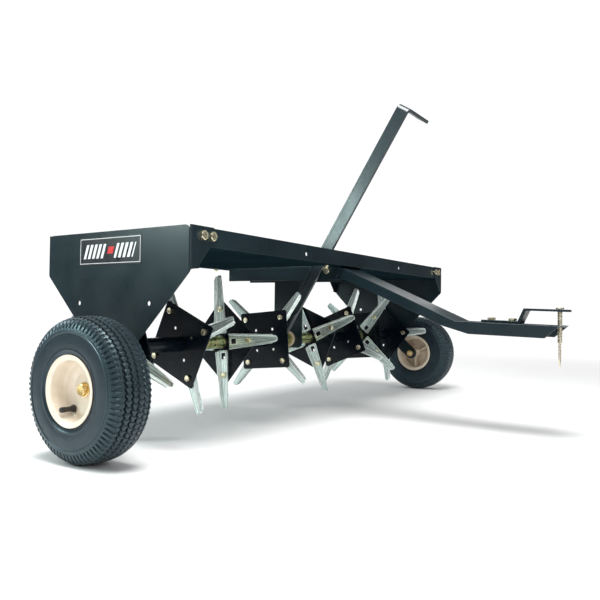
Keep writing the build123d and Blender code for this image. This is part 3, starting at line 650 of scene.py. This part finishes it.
def shank(bm, frame, radius, end, thread_from, pitch=0.00125, steps=20):
    """Bolt body from z = 0 to end, with thread rings from thread_from on."""
    z = thread_from
    profile = [(0.0, radius * 0.98), (z, radius * 0.98)]
    while z + pitch < end - 0.0008:
        profile += [(z + pitch * 0.25, radius * 0.90), (z + pitch * 0.75, radius * 0.99),
                    (z + pitch, radius * 0.99)]
        z += pitch
    profile += [(end - 0.0007, radius * 0.93), (end, radius * 0.78)]
    turns = [2 * pi * i / steps for i in range(steps)]
    rings = [[bm.verts.new(frame @ Vector((r * cos(t), r * sin(t), z))) for t in turns]
             for z, r in profile]
    for a, b in zip(rings, rings[1:]):
        bridge(bm, a, b)
    bm.faces.new(rings[-1])
    bm.faces.new(rings[0][::-1])


def bolt_size(shank_radius, across_flats, head, nut, tail):
    """Head and nut heights, and the tail of thread past the nut."""
    return dict(shank_radius=shank_radius, apothem=across_flats / 2, head=head, nut=nut, tail=tail)


BOLT_6 = bolt_size(shank_radius=0.003, across_flats=0.010, head=0.004, nut=0.005, tail=0.002)
BOLT_8 = bolt_size(shank_radius=0.004, across_flats=0.0125, head=0.005, nut=0.006, tail=0.002)
BOLT_10 = bolt_size(shank_radius=0.005, across_flats=0.016, head=0.006, nut=0.008, tail=0.003)
ACROSS = (1, 0, 0)
DOWN = (0, 0, -1)


def fasteners(kind, body, places, size, suffix="", bolts=True, nuts=True):
    """places: (origin under the head, direction to the nut, x direction, grip)."""
    bm = bmesh.new()
    for origin, z_dir, x_dir, grip in places:
        frame = local_frame(origin, z_dir, x_dir)
        if bolts:
            hex_head(bm, frame, size["apothem"], size["head"], dish=0.0003)
            shank(bm, frame, size["shank_radius"], end=grip + size["nut"] + size["tail"],
                  thread_from=max(grip - 0.001, 0.0))
        if nuts:
            hex_nut(bm, frame, size["apothem"], grip, size["nut"], size["shank_radius"])
    add_part(bm, f"{kind}_set{suffix}", gold, 28.0, body, f"{kind}s{suffix}")


def from_shaft(x, y, z):
    """Point in metres from mm; y counts from the lift shaft, z from the ground."""
    return (x * MM, SHAFT_Y + y * MM, z * MM)


def frame_fasteners():
    corners = [(from_shaft(sx * x, sy * 204.5, 405.0), (0, -sy, 0), ACROSS, 0.0055)
               for sy in (-1, 1) for sx in (-1, 1) for x in (552.0, 577.0)]
    fasteners("corner_bolt", "frame", corners, BOLT_10, nuts=False)
    fasteners("corner_nut", "frame", corners, BOLT_10, bolts=False)

    tongue = [(from_shaft(x, y, 387.5), DOWN, ACROSS, 0.0065)
              for x in (-25, 25) for y in (-176, 150)]
    tongue.append((from_shaft(-50, -151, 374.5), ACROSS, (0, 1, 0), 0.100))
    fasteners("tongue_bolt", "frame", tongue, BOLT_10)

    strap_end, strap_slope = -558, -0.03
    strap = [(from_shaft(0, y, 255.35 + (strap_end - y) * strap_slope), DOWN, ACROSS, 0.0101)
             for y in (strap_end, -605)]
    fasteners("strap_bolt", "frame", strap, dict(BOLT_10, head=0.0055))

    hanger = [(from_shaft(22, y, 387.5), DOWN, ACROSS, 0.0105) for y in (-17, 33)]
    fasteners("hanger_bolt", "frame", hanger, BOLT_10)
    guide = [(from_shaft(-94, y, 390.5), DOWN, ACROSS, 0.0055) for y in (-176, 182)]
    fasteners("guide_bolt", "frame", guide, BOLT_6)


def lever_fasteners():
    """Two bolts up the leaning lever, a little off its centre line through the shaft."""
    offset = -6.75
    lean_cos, lean_sin = cos(LEVER_LEAN), sin(LEVER_LEAN)
    places = []
    for up in (45, 80):
        y = offset * lean_cos - up * lean_sin
        z = SHAFT_Z / MM + offset * lean_sin + up * lean_cos
        places.append((from_shaft(-72.0, y, z), ACROSS, (0, lean_cos, lean_sin), 0.016))
    fasteners("lever_bolt", "carriage", places, BOLT_10)


def spoon_fasteners():
    bolt_circle = 78.5      # radius, mm
    for number, spoon_sets in DRUMS.items():
        places = []
        for x, facing, first_deg in spoon_sets:
            head_x = x - 1.5 - (2.4 if facing < 0 else 0.0)
            for k in range(4):
                t = radians(first_deg + 90 * k)
                origin = from_shaft(head_x, bolt_circle * cos(t),
                                    SHAFT_Z / MM + bolt_circle * sin(t))
                places.append((origin, ACROSS, (0, cos(t), sin(t)), 0.0054))
        fasteners("spoon_bolt", "drum_%d" % number, places, BOLT_8, suffix="_%d" % number)


def axle_fasteners():
    """Long bolts driven in from outside each wheel, with a turned washer under the head."""
    washer_x, nut_x = 0.7285, 0.656
    washer_thick = 0.0018
    apothem, radius = 0.0095, 0.006
    grip = washer_x - nut_x
    # mm: (axial, radius, corner radius)
    washer = [(0.0, 0.5, 0), (0.0, 13.0, 0.5), (-1.8, 13.0, 0.5), (-1.8, 0.5, 0)]
    bolts = bmesh.new()
    nuts = bmesh.new()
    for side in (-1, 1):
        frame, head_frame = (local_frame((side * x, WHEEL_Y, WHEEL_Z), (-side, 0, 0), (0, 1, 0))
                             for x in (washer_x, washer_x + washer_thick))
        turned(bolts, frame, washer, corner_steps=3, steps=40)
        hex_head(bolts, head_frame, apothem, height=0.0075, dish=0.0004, steps=48)
        shank(bolts, frame, radius, end=grip + 0.013, thread_from=grip - 0.002, pitch=0.0015,
              steps=28)
        hex_nut(nuts, frame, apothem, grip, 0.010, radius, steps=48)
    for bm, kind in ((bolts, "axle_bolt"), (nuts, "axle_nut")):
        add_part(bm, kind + "_set", deep_gold, 28.0, "carriage", kind + "s")


frame_fasteners()
lever_fasteners()
spoon_fasteners()
axle_fasteners()

# ------------------------------------------------------------------ tyres (mm)
PITCHES = 76            # tread repeats round the tyre
PITCH_STEPS = 8
MAX_AXIAL = 44.2
# (axial, radius): outboard half of the outer skin, then of the inside, both from bead to crown
TYRE_OUTSIDE = [
    (37.6, 55.2), (39.2, 61.8), (39.9, 63.4), (41.7, 69.0), (43.0, 80.0), (43.0, 92.0),
    (41.8, 104.0), (38.5, 114.0), (33.0, 121.5), (24.0, 125.6), (12.0, 127.5), (0.0, TYRE_RADIUS),
]
TYRE_INSIDE = [(30.5, 54.9), (31.5, 62.0), (35.5, 72.0), (37.2, 90.0), (33.5, 112.0), (20.0, 119.5)]
# zigzag grooves: (axial, phase in pitches)
GROOVES = ((-25.5, 0.0), (-13.0, 0.5), (0.0, 0.0), (13.0, 0.5), (25.5, 0.0))
ZIGZAG = 1.7
GROOVE_DEPTH = 4.2
RIB_SLIT_DEPTH = 1.5
EDGE_SLIT_DEPTH = 1.2
NOTCH_DEPTH = 2.7


def spline(points, density):
    """Catmull-Rom samples through the points; density(b, c) gives samples per mm."""
    padded = [points[0], *points, points[-1]]
    out = []
    for i in range(1, len(padded) - 2):
        a, b, c, d = (Vector(q) for q in padded[i - 1:i + 3])
        count = max(1, int((c - b).length * density(b, c)))
        for k in range(count):
            t = k / count
            out.append(0.5 * ((2 * b) + (c - a) * t + (2 * a - 5 * b + 4 * c - d) * t * t
                              + (3 * b - a - 3 * c + d) * t ** 3))
    out.append(Vector(points[-1]))
    return out


def triangle_wave(t):
    return 4 * abs(t % 1.0 - 0.5) - 1.0


def rise(low, high, t):
    """Smooth step from 0 at low to 1 at high."""
    t = max(0.0, min(1.0, (t - low) / (high - low)))
    return t * t * (3 - 2 * t)


def fall(low, high, t):
    return 1.0 - rise(low, high, t)


def from_mid_pitch(t):
    return abs((t % 1.0) - 0.5)


def tread_depth(a, r, phase):
    """How far the rubber is cut back at axial a, radius r and an angle in pitches."""
    depth = 0.0
    off_centre = abs(a)
    edge_slit = from_mid_pitch(phase + 0.5)
    if r > 119.0 and off_centre < 35.5:
        for groove, shift in GROOVES:
            centre = groove + ZIGZAG * triangle_wave(phase + shift)
            depth = max(depth, GROOVE_DEPTH * fall(1.0, 1.9, abs(a - centre)))
        # slits across the ribs, slanted the other way on every second rib
        for k, ((low, _), (high, _)) in enumerate(zip(GROOVES, GROOVES[1:])):
            if low < a < high:
                shift, slant = (0.25, 0.022) if k % 2 else (0.75, -0.022)
                slit = from_mid_pitch(phase + shift + (a - (low + high) / 2) * slant)
                depth = max(depth, RIB_SLIT_DEPTH * fall(0.05, 0.13, slit))
        if 27.0 < off_centre < 33.5:
            depth = max(depth, EDGE_SLIT_DEPTH * fall(0.06, 0.13, edge_slit))
        depth *= fall(31.5, 34.5, off_centre)
    # saw-tooth cuts round the shoulder, wider towards the tread
    if 105.0 < r < 123.6 and off_centre > 30.0:
        fade = rise(105.0, 109.0, r) * fall(121.8, 123.6, r)
        half_width = 0.16 + 0.20 * (r - 105.0) / 18.0
        notch = fall(half_width * 0.65, half_width, edge_slit)
        depth = max(depth, NOTCH_DEPTH * fade * notch)
    return depth


def side_wall_relief(a, r):
    """Two raised rings and one shallow groove on the side wall."""
    if abs(a) <= 30:
        return 0.0
    return (1.3 * fall(0.5, 1.6, abs(r - 100.3)) + 0.7 * fall(0.6, 1.6, abs(r - 70.5))
            - 0.35 * fall(0.6, 1.5, abs(r - 66.2)))


def outward_normals(profile):
    normals = []
    for i, p in enumerate(profile):
        before, after = profile[max(i - 1, 0)], profile[min(i + 1, len(profile) - 1)]
        tangent = (after - before).normalized()
        normal = Vector((-tangent.y, tangent.x))
        if normal.dot(Vector((p.x * 0.6, p.y - 80))) < 0:
            normal = -normal
        normals.append(normal)
    return normals


def make_tyre(side_name, side, frame):
    half = spline(TYRE_OUTSIDE, lambda b, c: 1.25 if min(b.y, c.y) > 90 else 0.7)
    outside = [Vector((-p.x, p.y)) for p in half] + half[-2::-1]
    inside = [Vector(p) for p in TYRE_INSIDE] + [Vector((-a, r)) for a, r in TYRE_INSIDE[::-1]]
    normals = outward_normals(outside)
    steps = PITCHES * PITCH_STEPS
    bm = bmesh.new()
    sections = []
    for i in range(steps):
        t = 2 * pi * i / steps
        section = []
        for p, normal in zip(outside, normals):
            lift = side_wall_relief(p.x, p.y) - tread_depth(p.x, p.y, i / PITCH_STEPS)
            a = max(-MAX_AXIAL, min(MAX_AXIAL, p.x + normal.x * lift))
            section.append((a, min(p.y + normal.y * lift, TYRE_RADIUS)))
        section += [(p.x, p.y) for p in inside]
        sections.append([bm.verts.new(frame @ Vector((r * cos(t) * MM, r * sin(t) * MM, a * MM)))
                         for a, r in section])
    close_surface(bm, sections)
    body = "wheel_" + side_name
    add_part(bm, "tyre_tread_" + side_name, tyre_material("rubber_" + body, side), 38.0,
             body, "tyre_" + side_name)


# ------------------------------------------------------------------ rims and valve stems (mm)
# (axial, radius, corner radius), axial positive outboard
RIM = [
    (-42.0, 62.0, 1.0), (-39.8, 62.0, 1.0), (-38.0, 54.8, 1.6), (-20.0, 54.0, 1.5),
    (-14.0, 52.0, 2.5), (14.0, 52.0, 2.5), (20.0, 54.0, 1.5), (38.0, 54.8, 1.6),
    (39.8, 62.0, 1.0), (42.0, 62.0, 1.0), (42.0, 59.8, 1.1), (40.9, 58.6, 1.0),
    (39.6, 53.4, 2.5), (37.6, 52.2, 1.5), (21.0, 51.6, 2.0), (17.0, 50.8, 2.0),
    (13.0, 49.4, 2.5), (11.0, 45.5, 2.5), (10.5, 40.0, 3.0), (9.0, 34.0, 3.0),
    (6.8, 28.0, 3.0), (6.8, 15.5, 0.8), (7.0, 14.6, 0.8), (7.0, 9.0, 0.8),
    (-41.0, 9.0, 0.8), (-41.0, 13.5, 0.8), (4.0, 15.0, 3.0), (4.0, 28.6, 2.0),
    (6.4, 34.4, 2.0), (7.8, 40.4, 2.0), (8.8, 46.8, 1.0), (8.4, 49.4, 0.5),
    (-14.4, 49.4, 2.0), (-20.6, 51.4, 2.0), (-37.6, 52.2, 1.5), (-39.6, 53.4, 2.5),
    (-40.9, 58.6, 1.0), (-42.0, 59.8, 1.1),
]
STEM = [
    (2.0, 0.3, 0), (2.0, 3.4, 0), (11.6, 3.4, 0.3), (11.9, 6.4, 1.2), (14.2, 6.9, 1.6),
    (16.4, 5.6, 1.5), (19.0, 4.7, 2.0), (28.0, 4.3, 0.3), (28.4, 3.8, 0.2), (29.4, 3.8, 0.2),
    (29.6, 4.5, 0.3), (39.0, 4.4, 0.9), (39.9, 3.6, 0.5), (39.9, 0.3, 0),
]
# (radial, axial)
RIB = [(13.4, -20.0), (49.8, -20.0), (49.8, 8.9), (46.8, 9.6), (40.0, 8.8), (34.0, 7.3),
       (28.6, 5.0), (13.4, 5.0)]
STEM_OFFSET = 40.5      # from the axle to the valve stem
CAP_RIDGES = 14


def make_rim(side_name, side, frame, rib_deg):
    bm = bmesh.new()
    turned(bm, frame, RIM, corner_steps=4, steps=144)
    for k in range(3):
        t = radians(rib_deg + 120 * k)
        rib_frame = local_frame(frame.translation, (side, 0, 0), (0, cos(t), sin(t)))
        flat_web(bm, rib_frame, RIB, half_thick=3.0, bevel=1.0)
        # thicker foot of the rib at the hub
        soft_box(bm, rib_frame, (12.0, -4.4, -24.0), (18.5, 4.4, 3.5), bevel=1.4)
    body = "wheel_" + side_name
    add_part(bm, "rim_dish_" + side_name, rim_material("enamel_" + body, side), 30.0,
             body, "rim_" + side_name)


def make_valve(side_name, side, stem_deg):
    """Moulded base, neck and a cap with ridges round it."""
    t = radians(stem_deg)
    origin = (side * WHEEL_X, WHEEL_Y + STEM_OFFSET * MM * cos(t),
              WHEEL_Z + STEM_OFFSET * MM * sin(t))
    frame = local_frame(origin, (side, 0, 0), (0, 1, 0))
    bm = bmesh.new()
    turned(bm, frame, STEM, corner_steps=3, steps=36)
    for k in range(CAP_RIDGES):
        ridge_frame = frame @ Matrix.Rotation(2 * pi * k / CAP_RIDGES, 4, "Z")
        soft_box(bm, ridge_frame, (4.2, -0.35, 30.5), (4.75, 0.35, 38.2), bevel=0.12)
    add_part(bm, "valve_" + side_name, stem_rubber, 35.0, "wheel_" + side_name,
             "valve_stem_" + side_name)


def make_wheel(side_name, side, stem_deg, rib_step):
    """The first rib stands rib_step degrees on from the valve stem."""
    frame = local_frame((side * WHEEL_X, WHEEL_Y, WHEEL_Z), (side, 0, 0), (0, 1, 0))
    make_tyre(side_name, side, frame)
    make_rim(side_name, side, frame, stem_deg + rib_step)
    make_valve(side_name, side, stem_deg)


make_wheel("right", -1, stem_deg=-56.7, rib_step=-20.0)
make_wheel("left", 1, stem_deg=132.0, rib_step=20.0)


# ------------------------------------------------------------------ CAD nodes: finish and edges
def dress(material, names):
    for name in names:
        materials = nodes[name].data.materials
        materials.clear()
        materials.append(material)


dress(frame_paint, ["tray_pan", "end_plate_right", "end_plate_left", "tongue", "hitch_strap",
                    "center_hanger", "lever_guide", "lever_hub", "arm_right", "arm_left"])
dress(lever_paint_lit, ["lift_lever"])
dress(drum_paint, [name for name in nodes if name.startswith(("tine_plate", "drum_tube"))])
dress(zinc_tube, ["shaft_spacers", "axle_spacers"])
dress(drawn_steel, ["lift_shaft"])
dress(pin_zinc, ["hitch_pin", "hitch_clip"])
dress(cream_plastic, ["shaft_bushings", "hub_bush_left", "hub_bush_right"])
dress(decal_print, ["side_decals"])
for number, spoon_sets in DRUMS.items():
    for tag, (_, _, first_deg) in zip("ab", spoon_sets):
        label = "%d%s" % (number, tag)
        dress(galvanised("galvanised_" + label, first_deg), ["spoons_" + label])
dress(gold, ["corner_bolts", "corner_nuts", "tongue_bolts", "strap_bolts", "hanger_bolts",
             "guide_bolts", "lever_bolts", "axle_bolts", "axle_nuts"])
dress(gold, ["spoon_bolts_%d" % number for number in DRUMS])

# edge radius in mm, by node name and by the start of the name
EDGE_RADII = {
    "tray_pan": 0.6, "end_plate_right": 0.7, "end_plate_left": 0.7, "tongue": 1.6,
    "hitch_strap": 0.7, "center_hanger": 0.7, "lever_guide": 0.5, "lift_lever": 0.9,
    "lever_hub": 0.8, "arm_right": 0.7, "arm_left": 0.7, "lift_shaft": 0.4,
}
GROUP_EDGE_RADII = {"spoons_": 0.55, "tine_plate": 0.5, "drum_tube": 0.6}
for prefix, radius in GROUP_EDGE_RADII.items():
    EDGE_RADII.update({name: radius for name in nodes if name.startswith(prefix)})


def round_edges(obj, radius):
    weld = obj.modifiers.new("weld", "WELD")
    weld.merge_threshold = 0.00001
    planar = obj.modifiers.new("planar", "DECIMATE")
    planar.decimate_type = "DISSOLVE"
    planar.angle_limit = radians(0.6)
    bevel = obj.modifiers.new("round", "BEVEL")
    bevel.width = radius * MM
    bevel.segments = 2
    bevel.limit_method = "ANGLE"
    bevel.angle_limit = radians(40)
    bevel.use_clamp_overlap = False
    bevel.harden_normals = True
    shade = obj.modifiers.new("shade", "WEIGHTED_NORMAL")
    shade.weight = 100
    shade.keep_sharp = False
    for polygon in obj.data.polygons:
        polygon.use_smooth = True


for name, radius in EDGE_RADII.items():
    round_edges(nodes[name], radius)


# ------------------------------------------------------------------ floor, world, lights, camera
BACKDROP = 1.05     # strength of the white that the camera sees behind the machine


def floor_material():
    """Pale grey that fades to the white backdrop away from the centre."""
    m = Mat("studio_floor")
    m.set(Base_Color=m.mix(m.noise(scale=0.8), (0.82, 0.82, 0.82), (0.85, 0.85, 0.85)),
          Roughness=0.6,
          Specular_IOR_Level=0.2,
          Normal=m.bump(m.noise(scale=140.0), strength=0.02, dist=0.0005))
    x, y, z = m.sep()
    far = m.span(m.mul(m.hypot(x, y), 0.2), at=(0.24, 0.62))
    glow = m.node("Emission")
    glow.inputs[0].default_value = (1, 1, 1, 1)
    glow.inputs[1].default_value = BACKDROP
    m.feed(m.surface, m.mix_shader(m.mul(far, m.camera_ray()), m.shader.outputs[0],
                                   glow.outputs[0]))
    return m.material


def make_floor():
    bm = bmesh.new()
    bmesh.ops.create_grid(bm, x_segments=2, y_segments=2, size=40.0)
    floor = add_object("floor", mesh_from(bm, "floor"))
    floor.location = (0, 0, -0.0003)
    floor.data.materials.append(floor_material())


def make_world():
    """White for the camera, a soft grey sky for the light."""
    world = bpy.data.worlds.new("studio")
    scene.world = world
    world.use_nodes = True
    w = Nodes(world.node_tree, coords="Generated")

    def background(colour, strength):
        n = w.node("Background")
        w.feed(n.inputs[0], colour)
        n.inputs[1].default_value = strength
        return n.outputs[0]

    sky = w.ramp(w.sep()[2], [(0.0, 0.10), (0.25, (0.26, 0.265, 0.27)), (0.6, 0.88), (1.0, 1.0)])
    w.feed(w.node("OutputWorld").inputs[0],
           w.mix_shader(w.camera_ray(), background(sky, 0.50),
                        background((1, 1, 1, 1), BACKDROP)))


# name, location, target, (width, height), watts, colour
LIGHTS = [
    ("key_top", (-0.9, -0.2, 2.5), (0, 0.15, 0.2), (1.4, 1.4), 104, (1.0, 1.0, 1.0)),
    ("fill_front", (0.2, -3.0, 1.5), (0, 0, 0.25), (2.0, 2.0), 18, (0.95, 0.98, 1.0)),
    ("fill_camera", (-2.3, -1.5, 0.95), (0.5, 0.1, 0.2), (0.9, 0.9), 9, (1.0, 0.99, 0.97)),
    ("rim_back", (0.8, 2.4, 1.6), (0, 0.1, 0.3), (1.8, 1.8), 17, (0.96, 0.98, 1.0)),
    ("back_card", (2.3, 1.1, 1.25), (0, -0.15, 0.35), (1.2, 0.9), 4.0, (1.0, 1.0, 1.0)),
    ("horizon_card", (3.2, 2.1, 0.50), (0, -0.2, 0.26), (3.0, 0.7), 6.0, (0.95, 1.0, 1.0)),
    ("side_card", (-1.55, 1.02, 0.80), (-0.06, 0.12, 0.42), (0.36, 0.36), 8.5, (0.78, 1.0, 0.98)),
]


def make_lights():
    for name, location, target, size, watts, colour in LIGHTS:
        light = bpy.data.lights.new(name, "AREA")
        light.shape = "RECTANGLE"
        light.size, light.size_y = size
        light.energy = watts
        light.color = colour
        obj = add_object(name, light)
        obj.location = location
        aim = Vector(target) - Vector(location)
        obj.rotation_euler = aim.to_track_quat("-Z", "Y").to_euler()
        obj.visible_camera = False


def make_camera():
    """Low on the right, ahead of the machine, looking back across it."""
    data = bpy.data.cameras.new("camera")
    camera = add_object("camera", data)
    scene.camera = camera
    data.sensor_width = 36.0
    data.lens = 38.4
    data.clip_start = 0.01
    data.clip_end = 200.0
    azimuth, pitch, roll = radians(33.48), radians(1.12), radians(0.74)
    view = Vector((cos(azimuth) * cos(pitch), sin(azimuth) * cos(pitch), sin(pitch)))
    level = view.cross(Vector((0, 0, 1))).normalized()
    upright = level.cross(view)
    right = level * cos(roll) + upright * sin(roll)
    up = -level * sin(roll) + upright * cos(roll)
    matrix = Matrix((right, up, -view)).transposed().to_4x4()
    matrix.translation = Vector((-1.4505, -0.9960 + SHAFT_Y, 0.2662))
    camera.matrix_world = matrix


make_floor()
make_world()
make_lights()
make_camera()
scene.view_settings.view_transform = "Standard"
scene.view_settings.look = "None"
scene.view_settings.exposure = 0.0
